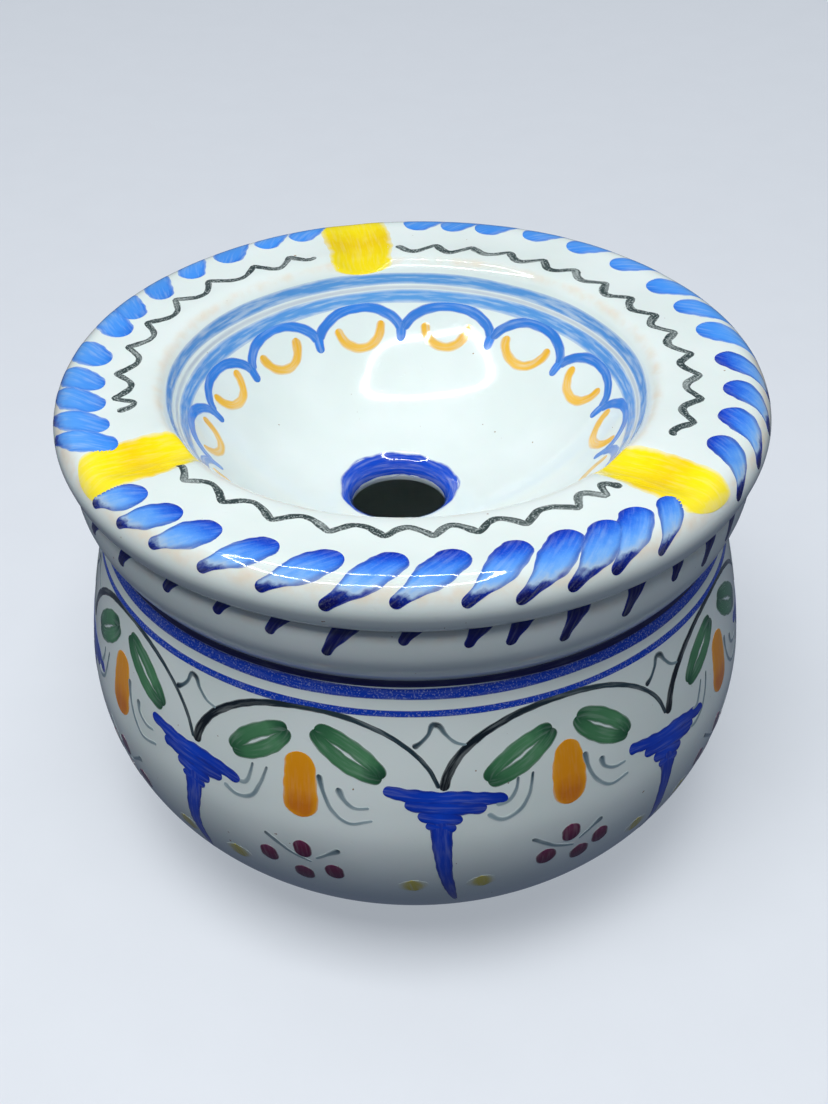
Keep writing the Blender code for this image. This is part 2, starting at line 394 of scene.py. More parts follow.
class Nodes:
    """Short calls for building one material's node tree."""

    def __init__(self, name):
        self.material = bpy.data.materials.new(name)
        self.material.use_nodes = True
        self.tree = self.material.node_tree
        self.shader = self.tree.nodes["Principled BSDF"]

    def add(self, kind, **settings):
        node = self.tree.nodes.new(kind)
        for key, value in settings.items():
            setattr(node, key, value)
        return node

    def link(self, source, target):
        self.tree.links.new(source, target)

    def value_or_link(self, socket, value):
        if isinstance(value, bpy.types.NodeSocket):
            self.link(value, socket)
        else:
            socket.default_value = value

    def plus(self, first, second):
        return self.math("ADD", first, second)

    def times(self, first, second):
        return self.math("MULTIPLY", first, second)

    def math(self, operation, first, second=0.0):
        node = self.add("ShaderNodeMath", operation=operation)
        self.value_or_link(node.inputs[0], first)
        self.value_or_link(node.inputs[1], second)
        return node.outputs[0]

    def swing(self, source, size):
        """A value from 0 to 1 as a swing of that size round 0."""
        return self.times(self.math("SUBTRACT", source, 0.5), size)

    def ramp(self, source, low, high, start=0.0, end=1.0):
        """Smooth step of a value from low to high, as start to end."""
        node = self.add("ShaderNodeMapRange", interpolation_type="SMOOTHSTEP")
        self.link(source, node.inputs["Value"])
        node.inputs["From Min"].default_value = low
        node.inputs["From Max"].default_value = high
        node.inputs["To Min"].default_value = start
        node.inputs["To Max"].default_value = end
        return node.outputs["Result"]

    def mix(self, factor, first, second):
        """Two colours mixed; the node has sockets of one name for each kind of data, so by place."""
        node = self.add("ShaderNodeMix", data_type="RGBA")
        first_colour, second_colour, result = node.inputs[6], node.inputs[7], node.outputs[2]
        self.value_or_link(node.inputs["Factor"], factor)
        self.value_or_link(first_colour, first)
        self.value_or_link(second_colour, second)
        return result

    def noise(self, vector, scale, detail=2.0, stretch=None):
        if stretch:
            scaled = self.add("ShaderNodeVectorMath", operation="MULTIPLY")
            self.link(vector, scaled.inputs[0])
            scaled.inputs[1].default_value = stretch
            vector = scaled.outputs[0]
        node = self.add("ShaderNodeTexNoise")
        self.link(vector, node.inputs["Vector"])
        node.inputs["Scale"].default_value = scale
        node.inputs["Detail"].default_value = detail
        return node.outputs["Fac"]

    def attribute(self, name):
        node = self.add("ShaderNodeAttribute", attribute_name=name)
        return node.outputs["Vector"]

    def split(self, vector):
        node = self.add("ShaderNodeSeparateXYZ")
        self.link(vector, node.inputs[0])
        return node.outputs

    def colours(self, source, stops):
        """Colour ramp: stops are (position, red, green, blue), with the colours from 0 to 255."""
        node = self.add("ShaderNodeValToRGB")
        self.link(source, node.inputs["Fac"])
        elements = node.color_ramp.elements
        while len(elements) < len(stops):
            elements.new(0.5)
        for element, (position, *channels) in zip(elements, stops):
            element.position = position
            element.color = rgb(*channels)
        return node.outputs["Color"]

    def bump(self, heights, strength, depth):
        node = self.add("ShaderNodeBump")
        node.inputs["Strength"].default_value = strength
        node.inputs["Distance"].default_value = depth
        self.link(heights, node.inputs["Height"])
        self.link(node.outputs["Normal"], self.shader.inputs["Normal"])

    def object_place(self):
        return self.add("ShaderNodeTexCoord").outputs["Object"]


def glaze_colour(nodes, place):
    """The white glaze with its faint clouds; strokes fade into this same colour."""
    clouds = nodes.noise(place, 38.0, 3.0)
    return nodes.mix(nodes.ramp(clouds, 0.35, 0.68), GLAZE_WHITE, GLAZE_SHADE)


def gloss(nodes):
    """The settings that every glazed surface shares."""
    nodes.shader.inputs["IOR"].default_value = 1.52
    nodes.shader.inputs["Specular IOR Level"].default_value = 0.5


def white_glaze(name):
    """Tin glaze over clay: attribute wear.x is how thin it runs, wear.y where the clay is bare."""
    nodes = Nodes(name)
    place = nodes.object_place()
    thin, bare, _ = nodes.split(nodes.attribute("wear"))
    colour = glaze_colour(nodes, place)
    patches = nodes.ramp(nodes.noise(place, 260.0, 3.0), 0.25, 0.75, 0.35, 1.0)
    breaking = nodes.times(thin, patches)
    colour = nodes.mix(nodes.ramp(breaking, 0.1, 1.1), colour, GLAZE_WARM)
    grains = nodes.noise(place, 900.0, 1.0)
    colour = nodes.mix(nodes.ramp(grains, 0.80, 0.82), colour, rgb(150, 128, 104))
    clay_grain = nodes.noise(place, 1500.0, 2.0)
    clay = nodes.mix(clay_grain, CLAY, rgb(170, 128, 96))
    edge = nodes.plus(bare, nodes.times(nodes.noise(place, 420.0, 3.0), 0.5))
    uncovered = nodes.ramp(edge, 0.70, 0.82)
    nodes.link(nodes.mix(uncovered, colour, clay), nodes.shader.inputs["Base Color"])
    worn = nodes.ramp(nodes.noise(place, 55.0, 4.0), 0.3, 0.8, 0.05, 0.10)
    rough = nodes.plus(worn, nodes.times(uncovered, 0.6))
    nodes.link(rough, nodes.shader.inputs["Roughness"])
    nodes.shader.inputs["Subsurface Weight"].default_value = 0.04
    nodes.shader.inputs["Subsurface Scale"].default_value = 1.5 * MM
    orange_peel = nodes.noise(place, 300.0, 2.0)
    pits = nodes.ramp(nodes.noise(place, 700.0, 1.0), 0.70, 0.78, 0.0, -1.0)
    heights = nodes.plus(orange_peel, pits)
    rough_clay = nodes.times(nodes.times(uncovered, clay_grain), 4.0)
    heights = nodes.plus(heights, rough_clay)
    nodes.bump(heights, 0.25, 0.05 * MM)
    gloss(nodes)
    return nodes.material


def pigment(name, stops, read="along", pool=None, pool_strength=0.5, fade=0.55, speckle=0.0,
            streak=0.5, edge=(0.80, 1.0)):
    """Brushed pigment under the glaze.

    Its colour runs through stops, read along the stroke (0 to 1) or by fall, the place on the piece
    in millimetres. It pools darker towards the brush's edges, thins in streaks along the brush, is
    broken by pale speckles, and fades into the white glaze at its outline.
    """
    nodes = Nodes(name)
    place = nodes.object_place()
    along, across, chance = nodes.split(nodes.attribute("stroke"))
    brush = nodes.attribute("brush")
    fall = nodes.split(brush)[2]
    streaks = nodes.noise(brush, 1.0, 3.0, stretch=(0.16, 1.5, 0.10))
    blots = nodes.noise(place, 420.0, 3.0)
    if read == "along":
        reading = nodes.plus(along, nodes.swing(blots, 0.22))
    else:
        wander = nodes.plus(nodes.swing(blots, 3.2), nodes.swing(streaks, 1.6))
        reading = nodes.plus(fall, wander)
        first, last = stops[0][0], stops[-1][0]
        reading = nodes.math("DIVIDE", nodes.math("SUBTRACT", reading, first), last - first)
        stops = [((position - first) / (last - first), *channels) for position, *channels in stops]
    colour = nodes.colours(reading, stops)
    rim = nodes.math("ABSOLUTE", across)
    if pool:
        near_edge = nodes.ramp(nodes.plus(rim, nodes.times(blots, 0.35)), 0.72, 1.12)
        colour = nodes.mix(nodes.times(near_edge, pool_strength), colour, rgb(*pool))
    thinness = nodes.ramp(streaks, 0.42, 0.80, 0.0, streak)
    white = glaze_colour(nodes, place)
    colour = nodes.mix(thinness, colour, white)
    if speckle:
        salt = nodes.ramp(nodes.noise(place, 3000.0, 1.0), 0.56, 0.66, 0.0, speckle)
        colour = nodes.mix(salt, colour, white)
    tint = nodes.add("ShaderNodeHueSaturation")
    nodes.link(colour, tint.inputs["Color"])
    nodes.link(nodes.plus(nodes.swing(chance, 0.10), 1.0), tint.inputs["Value"])
    ragged = nodes.plus(rim, nodes.swing(blots, 0.25))
    soft = nodes.ramp(ragged, edge[0], edge[1], 0.0, fade)
    nodes.link(nodes.mix(soft, tint.outputs["Color"], white), nodes.shader.inputs["Base Color"])
    worn = nodes.ramp(nodes.noise(place, 55.0, 4.0), 0.3, 0.8, 0.05, 0.11)
    nodes.link(worn, nodes.shader.inputs["Roughness"])
    heights = nodes.plus(nodes.times(streaks, 0.6), nodes.noise(place, 300.0, 2.0))
    nodes.bump(heights, 0.25, 0.05 * MM)
    gloss(nodes)
    return nodes.material


# ---------- Pieces ----------

def new_piece(name, vertices, faces, material, body):
    """A piece from vertices in millimetres, which rides on its body and takes the given material."""
    mesh = bpy.data.meshes.new(name)
    mesh.from_pydata((np.asarray(vertices) * MM).tolist(), [], faces)
    mesh.materials.append(material)
    mesh.shade_smooth()
    mesh.set_sharp_from_angle(angle=math.radians(50.0))
    piece = bpy.data.objects.new(name, mesh)
    bpy.context.scene.collection.objects.link(piece)
    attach(piece, body)
    return piece


def add_attribute(mesh, name, values):
    attribute = mesh.attributes.new(name, "FLOAT_VECTOR", "POINT")
    attribute.data.foreach_set("vector", np.asarray(values, np.float32).ravel())


def subdivided(points, step):
    """The straight-sided outline through the points, with no span longer than step."""
    rows = [np.asarray(points[:1], float)]
    for start, end in zip(points[:-1], points[1:]):
        count = max(1, int(math.ceil(math.dist(start, end) / step)))
        t = (np.arange(1, count + 1) / count)[:, None]
        rows.append(np.asarray(start) * (1.0 - t) + np.asarray(end) * t)
    return np.concatenate(rows)


def tube_faces(rows, turns, closed, first=0):
    """Faces between rows of points that each close on themselves; closed joins the last to the first."""
    faces = []
    for row in range(rows if closed else rows - 1):
        here = first + row * turns
        after = first + (row + 1) % rows * turns
        for i in range(turns):
            j = (i + 1) % turns
            faces.append((here + i, after + i, after + j, here + j))
    return faces


def turned_body(body, loop, wear, shape, material):
    """A turned solid on one body. The loop (r, z) is closed, or starts and ends on the axis."""
    open_ended = loop[0][0] == 0.0
    angles = np.arange(TURNS) * 360.0 / TURNS
    rings = loop[1:-1] if open_ended else loop
    grid = shape(angles[None, :], rings[:, :1], rings[:, 1:])
    vertices = grid.reshape(-1, 3).tolist()
    worn = np.repeat(wear[1:-1] if open_ended else wear, TURNS, axis=0).tolist()
    count = len(rings)
    faces = tube_faces(count, TURNS, closed=not open_ended)
    if open_ended:
        for end, base in ((loop[0], 0), (loop[-1], (count - 1) * TURNS)):
            pole = len(vertices)
            vertices.append((0.0, 0.0, float(end[1])))
            worn.append((0.0, 0.0, 0.0))
            faces += [(pole, base + i, base + (i + 1) % TURNS) for i in range(TURNS)]
    piece = new_piece(body + "_body", vertices, faces, material, body)
    shell = bmesh.new()
    shell.from_mesh(piece.data)
    bmesh.ops.recalc_face_normals(shell, faces=shell.faces)
    shell.to_mesh(piece.data)
    shell.free()
    add_attribute(piece.data, "wear", worn)
    return piece


def thin_glaze(r, z, edges):
    """How thin the glaze runs over edges, each (strength, radius, height, width)."""
    return sum(strength * np.exp(-(np.hypot(r - radius, z - height) / width) ** 2)
               for strength, radius, height, width in edges)


def make_lid(material):
    face = thinned(lid_outline.line, 1.3, 5.0)
    under = subdivided([tuple(face[-1])] + lid_underside() + [tuple(face[0])], 2.5)[1:-1]
    loop = np.concatenate([face, under])
    r, z = loop[:, 0], loop[:, 1]
    thin = thin_glaze(r, z, (
        (0.75, LIP_RADIUS - 1.8, TOP - 1.0, 1.6),
        (0.9, LID_RADIUS - 1.2, TOP - 2.4, 2.2),
        (0.5, RIM_RADIUS + 0.6, SEAT + 0.9, 1.2),
    ))
    foot = (z < SEAT + TOUCH_GAP + 0.05) & (z > SEAT) & (r > SEAT_INSIDE - 0.6) & (r < RIM_RADIUS - 0.6)
    bare = np.where(foot, 1.0, 0.0)
    wear = np.stack([thin, bare, 0.0 * r], axis=1)
    lid = turned_body("lid", loop, wear, shape_lid, material)
    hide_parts("lid")


def make_pot(material):
    foot, inside = pot_rest()
    face = thinned(pot_outline.line, 1.3, 5.0)
    lower = subdivided([tuple(face[-1])] + foot, 4.0)[1:]
    upper = subdivided(inside + [tuple(face[0])], 4.0)[:-1]
    loop = np.concatenate([upper, face, lower])
    r, z = loop[:, 0], loop[:, 1]
    thin = thin_glaze(r, z, (
        (0.6, RIM_RADIUS - 0.6, SEAT - 1.6, 1.6),
        (0.6, FOOT_RADIUS, 1.2, 1.4),
    ))
    bare = np.where((z < 0.9) & (r > 33.0), 1.0, 0.0)
    wear = np.stack([thin, bare, 0.0 * r], axis=1)
    pot = turned_body("pot", loop, wear, shape_pot, material)
    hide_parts("pot")


def wavering(reach, rates):
    """Uneven waves along a stroke, about -1 to 1, of these rates in radians per millimetre."""
    return sum(np.sin(reach * rate + dice.uniform(0.0, 6.28)) for rate in rates) / 2.2


class Paint:
    """Brush strokes of one pigment on one body, gathered into one piece."""

    def __init__(self, name, body, pigment_name, stops, **finish):
        self.name = name
        self.body = body
        self.surface = SURFACES[body]
        self.material = pigment(pigment_name, stops, **finish)
        self.vertices = []
        self.faces = []
        self.stroke_values = []
        self.brush_values = []
        self.count = 0

    def stroke(self, path, cap=None, wobble=0.05, lift=FILM_LIFT, step=0.5, fall=0.0):
        """One stroke along path, a list of (angle, s, half width).

        cap is the length of its round ends, wobble is how uneven its sides are, lift is how far its
        edge stands off, and fall is added to s for the pigments that read the place on the piece.
        """
        rounds = np.asarray(path, float)
        reference = float(self.surface.outline.at(rounds[:, 1].mean())[0])
        rounds[:, 0] = np.radians(rounds[:, 0]) * reference
        line = smooth_curve(rounds, min(step, 0.3))
        length = distance_along(line)
        total = length[-1]
        longest_cap = total * 0.45
        start_cap = min(line[0, 2] if cap is None else cap, longest_cap)
        end_cap = min(line[-1, 2] if cap is None else cap, longest_cap)
        straight = total - start_cap - end_cap
        middle = np.linspace(start_cap, total - end_cap, max(3, int(straight / step) + 1))
        ease = 1.0 - np.cos(np.linspace(0.16, math.pi / 2.0, 6)[:-1])
        reach = np.concatenate([start_cap * ease, middle, total - end_cap * ease[::-1]])
        x, s, half = (np.interp(reach, length, line[:, k]) for k in range(3))
        ends = np.minimum(reach / start_cap, (total - reach) / end_cap).clip(0.0, 1.0)
        half = half * np.sqrt(1.0 - (1.0 - ends) ** 2)
        left = wavering(reach, (0.4, 0.9, 2.0))
        right = wavering(reach, (0.45, 1.0, 2.2))
        stretch = reference / self.surface.outline.at(s)[0]
        run = np.gradient(x) / stretch
        rise = np.gradient(s)
        size = np.hypot(run, rise) + 1e-9
        across = self.columns(half.max())
        uneven = 1.0 + wobble * np.where(across < 0.0, left[:, None], right[:, None])
        offset = across * half[:, None] * uneven
        grid_x = x[:, None] - offset * (rise / size * stretch)[:, None]
        grid_s = s[:, None] + offset * (run / size)[:, None]
        share = np.repeat((reach / total)[:, None], across.size, axis=1)
        chance = dice.random()
        crown = FILM_CROWN * min(1.0, half.max())
        self.lay(np.degrees(grid_x / reference), grid_s, across, lift, crown, closed=False)
        run_of_noise = share * total + 37.0 * chance        # no two strokes have the same streaks
        self.keep_values(share, across, chance, run_of_noise, offset, grid_s + fall)

    def ring(self, s, half, wander=0.12, waves=2, turn=None):
        """A band brushed right round the piece, which closes on itself without ends."""
        angle = np.arange(0.0, 360.0, 1.0)[:, None]
        phi = np.radians(angle)
        turn = dice.uniform(0.0, 6.28) if turn is None else turn
        middle = s + wander * np.sin(waves * phi + turn) + 0.05 * np.sin(5.0 * phi + 2.0 * turn)
        width = half * (1.0 + 0.09 * np.sin(3.0 * phi + turn) + 0.06 * np.sin(11.0 * phi + 3.0 * turn))
        across = self.columns(half)
        grid_s = middle + width * across
        angle = np.repeat(angle, across.size, axis=1)
        lap = np.abs(angle / 180.0 - 1.0)
        run = lap * math.pi * float(self.surface.outline.at(s)[0])
        self.lay(angle, grid_s, across, FILM_LIFT, FILM_CROWN, closed=True)
        self.keep_values(lap, across, dice.random(), run, width * across, grid_s)

    def columns(self, half):
        """The places across a brush, from -1 to 1: an odd number of them."""
        return np.linspace(-1.0, 1.0, max(5, int(2.0 * half / BRUSH_COLUMN) | 1))[None, :]

    def keep_values(self, share, across, chance, run, offset, fall):
        """Attributes of one film, for its top and again for its underside."""
        sides = np.repeat(across, len(share), axis=0)
        stroke_values = np.stack([share, sides, np.full_like(share, chance)], axis=-1).reshape(-1, 3)
        brush_values = np.stack([run, offset, fall], axis=-1).reshape(-1, 3)
        self.stroke_values += [stroke_values, stroke_values]
        self.brush_values += [brush_values, brush_values]

    def lay(self, angle, s, across, lift, crown, closed):
        """One film on the surface: its top, its underside and the walls between them."""
        self.count += 1
        points = self.surface.place(angle, s)
        normals = self.surface.normal(angle, s)
        height = lift + FILM_STAGGER * (self.count % FILM_LEVELS) + crown * (1.0 - across ** 2)
        base = len(self.vertices)
        self.vertices += (points + normals * height[..., None]).reshape(-1, 3).tolist()
        self.vertices += (points - normals * FILM_DEPTH).reshape(-1, 3).tolist()
        rows, columns = angle.shape
        under = base + rows * columns
        last = columns - 1
        edges = []
        for i in range(rows if closed else rows - 1):
            here = i * columns
            after = (i + 1) % rows * columns
            for j in range(last):
                corners = (here + j, here + j + 1, after + j + 1, after + j)
                self.faces.append(tuple(base + corner for corner in corners))
                self.faces.append(tuple(under + corner for corner in reversed(corners)))
            edges += [(after, here), (here + last, after + last)]
        if not closed:
            end = (rows - 1) * columns
            for j in range(last):
                edges += [(j, j + 1), (end + j + 1, end + j)]
        self.faces += [(base + b, base + a, under + a, under + b) for a, b in edges]

    def build(self):
        piece = new_piece(self.name, self.vertices, self.faces, self.material, self.body)
        add_attribute(piece.data, "stroke", np.concatenate(self.stroke_values))
        add_attribute(piece.data, "brush", np.concatenate(self.brush_values))


def jitter(amount):
    return dice.uniform(-amount, amount)


def spans(angles):
    """Each angle with the next one, right round the piece."""
    return list(zip(angles, angles[1:] + (angles[0] + 360.0,)))


def moved(path, angle, s=0.0):
    """A path whose points are (turn, s, half width), moved to an angle and on by s."""
    return [(angle + turn, place + s, half) for turn, place, half in path]


# ---------- The lid's painting ----------

# Rim strokes between the two front rests: head angle, head s, tip angle, tip s.
FRONT_STROKES = (
    (-50.3, 12.0, -55.4, 20.4),
    (-42.3, 11.2, -48.6, 20.3),
    (-34.2, 10.9, -41.2, 20.2),
    (-24.0, 10.4, -31.9, 20.4),
    (-13.3, 10.7, -22.4, 20.6),
    (-3.6, 10.0, -13.0, 22.1),
    (6.0, 9.6, -3.3, 20.8),
    (16.0, 9.2, 6.5, 21.2),
    (24.6, 9.6, 14.0, 21.9),
    (31.4, 10.7, 21.6, 21.6),
    (37.2, 10.6, 28.6, 21.1),
    (43.0, 12.2, 36.8, 21.3),
)
# Heads of the other rim strokes.
RIGHT_STROKES = (63.5, 73.0, 82.0, 92.0, 103.0, 112.5, 122.0, 133.0, 144.0, 154.0, 164.0, 171.0, 178.5)
LEFT_STROKES = (-66.3, -72.8, -79.8, -87.0, -95.5, -106.0, -113.0, -122.0, -132.0, -141.0, -150.5,
                -157.8)
# Wavy lines: angles of the outer cusps, s of the crests and the cusps at the start, and by how much
# the line has moved outwards between two angles.
WAVES = (
    ((-56.0, -48.0, -37.5, -26.5, -15.0, -5.0, 4.0, 12.0, 21.0, 31.0, 38.0, 42.5),
     2.0, 4.8, 0.0, -50.0, 40.0),
    (tuple(60.5 + 8.75 * i for i in range(15)), 3.2, 5.8, -2.0, 80.0, 122.0),
    ((-160.5, -152.0, -143.0, -132.0, -121.5, -110.5, -100.0, -89.5, -80.5, -75.8),
     1.5, 5.0, 2.2, -152.0, -128.0),
)


def teardrop(paint, head, head_s, tip, tip_s, fat):
    """One slanted rim stroke: a broad head that narrows to a round tail over the rolled edge."""
    widths = ((0.0, 0.76), (0.14, 0.92), (0.32, 1.0), (0.52, 0.92), (0.68, 0.64), (0.82, 0.42),
              (0.92, 0.36), (1.0, 0.36))
    path = []
    head = head + 1.9
    for share, width in widths:
        angle = head + (tip - head) * share
        bend = 0.45 * math.sin(share * math.pi)
        path.append((angle + bend, head_s + (tip_s - head_s) * share, fat * width))
    paint.stroke(path, wobble=0.05)


def paint_lid_rim():
    # The front strokes' colours, read by s, carry painted light as well as pigment. The pale stop at
    # 18.6 is partly thin pigment and partly a painted highlight where the glaze's reflection lies on the
    # roll's crest. The near-black tail from 19.5 on is partly pooled pigment and partly painted shade on
    # the roll's lower face.
    front = Paint(
        "lid_rim_strokes_front", "lid", "cobalt_front_with_painted_light",
        [(9.0, 6, 42, 168), (11.2, 20, 78, 206), (13.2, 50, 118, 226), (15.5, 86, 152, 236),
         (17.4, 120, 176, 238), (18.6, 166, 194, 222), (19.5, 18, 44, 136), (20.4, 4, 10, 92),
         (22.5, 2, 3, 60)],
        read="fall", pool=(6, 36, 150), pool_strength=0.6, streak=0.12, fade=0.2, speckle=0.03,
        edge=(0.9, 1.05))
    back = Paint(
        "lid_rim_strokes_back", "lid", "cobalt_pale",
        [(8.0, 36, 110, 214), (11.0, 66, 144, 236), (17.0, 92, 164, 242), (18.8, 84, 144, 226),
         (20.2, 20, 52, 158), (22.5, 6, 12, 92)],
        read="fall", pool=(36, 100, 206), pool_strength=0.5, streak=0.2, fade=0.35, edge=(0.82, 1.05))
    for head, head_s, tip, tip_s in FRONT_STROKES:
        fat = 2.5 if head > 42.0 else 3.3
        teardrop(front, head, head_s, tip, tip_s, fat + jitter(0.15))
    for head in RIGHT_STROKES[:4]:
        start = 10.2 + jitter(0.3)
        tip = head - 8.0 + jitter(0.6)
        teardrop(front, head, start, tip, 21.4 + jitter(0.6), 3.1 + jitter(0.2))
    front.build()
    for head in RIGHT_STROKES[4:] + LEFT_STROKES:
        start = float(9.6 + 1.9 * smoothstep(115.0, 165.0, abs(head)) + jitter(0.3))
        tip = head - 9.0 + jitter(0.8)
        teardrop(back, head, start, tip, 21.6 + jitter(0.7), 3.3 + jitter(0.25))
    back.build()


def paint_rests():
    rests = Paint(
        "lid_rest_yellow", "lid", "lemon_yellow",
        [(0.0, 248, 226, 30), (0.25, 250, 226, 8), (0.5, 242, 208, 4),
         (0.72, 252, 230, 12), (0.92, 250, 230, 50), (1.0, 246, 228, 110)],
        streak=0.10, fade=0.55, edge=(0.84, 1.02))
    for rest in REST_ANGLES:
        fat = 7.3 if rest < -90.0 else 6.7
        path = ((0.0, -4.4, fat - 1.1), (0.0, 0.0, fat - 0.5), (0.0, 8.0, fat), (0.0, 15.0, fat),
                (0.0, 18.0, fat - 0.5), (-0.3, 20.0, fat - 1.7))
        rests.stroke(moved(path, rest), cap=1.8, wobble=0.03, step=0.6)
    rests.build()


def paint_waves():
    waves = Paint(
        "lid_wave_line", "lid", "charcoal_line",
        [(0.0, 52, 66, 66), (1.0, 60, 74, 72)],
        pool=(22, 32, 36), pool_strength=0.5, streak=0.45, speckle=0.42, fade=0.5, edge=(0.8, 1.1))
    for cusps, crest, cusp, drift, drift_start, drift_end in WAVES:
        path = []
        edges = [angle + jitter(0.5) for angle in cusps]
        for left, right in zip(edges, edges[1:]):
            depth = cusp - crest + jitter(0.35)
            for share in (0.0, 0.07, 0.18, 0.32, 0.48, 0.64, 0.78, 0.9):
                if left == edges[0] and share < 0.3:
                    continue
                hump = math.sin(math.pi * share) ** 1.15
                half = 0.70 + 0.16 * smoothstep(0.45, 0.95, share)
                angle = left + (right - left) * share
                drifted = drift * smoothstep(drift_start, drift_end, angle)
                path.append((angle, float(cusp + drifted - depth * hump), float(half)))
        drifted = drift * smoothstep(drift_start, drift_end, edges[-1])
        path.append((edges[-1], float(cusp - 0.2 + drifted), 0.6))
        waves.stroke(path, wobble=0.12, step=0.35)
    waves.build()


def paint_funnel():
    at = lid_outline.at_radius
    bands = Paint(
        "funnel_bands", "lid", "funnel_band_blue",
        [(0.0, 92, 156, 216), (0.5, 84, 146, 216), (1.0, 92, 156, 216)],
        pool=(70, 134, 214), pool_strength=0.4, streak=0.5, fade=0.6, edge=(0.5, 1.05))
    bands.ring(-5.5, 1.35, wander=0.75, waves=1, turn=math.radians(140.0))
    bands.ring(-9.9, 1.55)
    bands.build()
    between = Paint(
        "funnel_wash_line", "lid", "funnel_wash",
        [(0.0, 198, 208, 214), (1.0, 190, 202, 212)],
        streak=0.4, fade=0.9, edge=(0.2, 1.05))
    between.ring(-7.7, 0.6, wander=0.3, waves=1, turn=math.radians(140.0))
    between.build()
    scallops = Paint(
        "funnel_scallops", "lid", "scallop_blue",
        [(0.0, 60, 124, 206), (0.5, 54, 130, 220), (1.0, 58, 120, 204)],
        pool=(38, 96, 200), pool_strength=0.4, streak=0.25, fade=0.45, edge=(0.75, 1.05))
    loops = Paint(
        "funnel_loops", "lid", "loop_orange",
        [(0.0, 236, 178, 46), (0.5, 242, 194, 84), (1.0, 236, 182, 54)],
        pool=(230, 170, 40), pool_strength=0.4, streak=0.4, fade=0.6, edge=(0.6, 1.05))
    for left, right in spans(CUSPS):
        wide = right - left
        arch = ((0.0, 39.2), (0.06, 40.6), (0.2, 41.9), (0.36, 42.6), (0.5, 42.7), (0.66, 42.5),
                (0.82, 41.7), (0.94, 40.5), (1.0, 39.3))
        drop = jitter(0.2)
        scallops.stroke([(left + wide * share, at(radius + drop * math.sin(math.pi * share)), 1.15)
                         for share, radius in arch], wobble=0.07)
        scallops.stroke([(left + jitter(0.2), at(40.4), 1.2), (left + 0.3, at(39.0), 1.1),
                         (left + 0.4, at(37.5), 0.85)], wobble=0.07)
        middle = left + wide * 0.51 + jitter(0.6)
        spread = 7.0 + jitter(0.5)
        shift = jitter(0.25)
        loop = ((-1.0, 40.7), (-0.93, 39.2), (-0.62, 37.6), (-0.25, 36.95), (0.2, 36.95), (0.62, 37.6),
                (0.95, 39.0), (1.03, 40.4))
        loops.stroke([(middle + spread * turn, at(radius + shift), 1.1) for turn, radius in loop],
                     wobble=0.1)
    scallops.build()
    loops.build()


def paint_hole():
    hole = Paint(
        "hole_ring", "lid", "hole_blue",
        [(0.0, 18, 66, 184), (0.5, 24, 82, 204), (1.0, 18, 66, 184)],
        pool=(14, 60, 176), pool_strength=0.4, streak=0.2, fade=0.8, edge=(0.8, 1.02))
    low = lid_outline.s[0] + 1.0
    high = lid_outline.at_radius(HOLE_RADIUS + 2.7)
    hole.ring((low + high) / 2.0, (high - low) / 2.0, wander=0.08, waves=3)
    hole.build()


# ---------- The pot's painting ----------

# Tails of the pot's rim strokes at the front: tip angle, and how far below the seat's edge they end.
POT_TAILS = ((-62.5, 3.4), (-52.5, 3.4), (-41.0, 1.9), (-31.0, 1.6), (-22.0, 2.4), (-13.3, 5.0),
             (-2.0, 1.4), (7.5, 2.5), (13.7, 3.2), (22.2, 5.2), (33.0, 4.6), (43.0, 2.5), (51.2, 4.7),
             (59.5, 5.0))


def paint_pot_rim():
    rim = Paint(
        "pot_rim_strokes", "pot", "cobalt_pot_rim",
        [(9.0, 20, 76, 204), (13.0, 80, 148, 236), (15.0, 110, 166, 236),
         (16.4, 20, 46, 140), (18.5, 6, 12, 100), (24.0, 3, 5, 68)],
        read="fall", pool=(8, 40, 150), pool_strength=0.5, streak=0.1, fade=0.3, edge=(0.88, 1.05))
    edge = pot_outline.at_radius(RIM_RADIUS - 0.3)
    tails = list(POT_TAILS)
    tails += [(69.5 + 9.6 * i + jitter(0.8), 3.2 + jitter(1.3)) for i in range(24)]
    widths = ((0.0, 1.8), (0.2, 2.4), (0.42, 2.3), (0.62, 1.6), (0.82, 1.05), (1.0, 0.95))
    for tip, below in tails:
        start = edge - 7.6 + jitter(0.4)
        end = edge + below
        rim.stroke([(tip + 7.0 * (1.0 - share) ** 1.3, start + (end - start) * share, width)
                    for share, width in widths], wobble=0.06, fall=18.4 - edge)
    rim.build()


def paint_pot_lines():
    # The navy groove line is brushed wide enough to run into the band below. It is partly the real
    # painted line and partly painted shade in the groove.
    groove = Paint(
        "pot_groove_line_and_shade", "pot", "groove_navy_and_shade", [(0.0, 5, 9, 78), (1.0, 6, 10, 84)],
        streak=0.05, fade=0.3, edge=(0.86, 1.05))
    groove.ring(0.55, 0.95, wander=0.06)
    groove.build()
    bands = Paint(
        "pot_bands", "pot", "band_cobalt",
        [(0.0, 2, 60, 186), (0.5, 4, 70, 198), (1.0, 2, 60, 186)],
        pool=(0, 34, 140), pool_strength=0.6, streak=0.1, speckle=0.22, fade=0.25, edge=(0.84, 1.06))
    bands.ring(2.7, 1.2, wander=0.1)
    bands.ring(6.6, 0.7, wander=0.14)
    bands.build()


def bow(start, end, bulge, half):
    """A path from start to end, each (angle, s), bowed sideways by bulge millimetres."""
    radius = float(pot_outline.at((start[1] + end[1]) / 2.0)[0])
    run = math.radians(end[0] - start[0]) * radius
    rise = end[1] - start[1]
    size = math.hypot(run, rise)
    path = []
    for share in (0.0, 0.1, 0.24, 0.42, 0.6, 0.78, 0.92, 1.0):
        swell = math.sin(math.pi * share) ** 0.6
        aside = math.degrees(rise / size * bulge * swell / radius)
        angle = start[0] + (end[0] - start[0]) * share - aside
        s = start[1] + rise * share + run / size * bulge * swell
        path.append((angle, s, half * (0.8 + 0.25 * swell)))
    return path


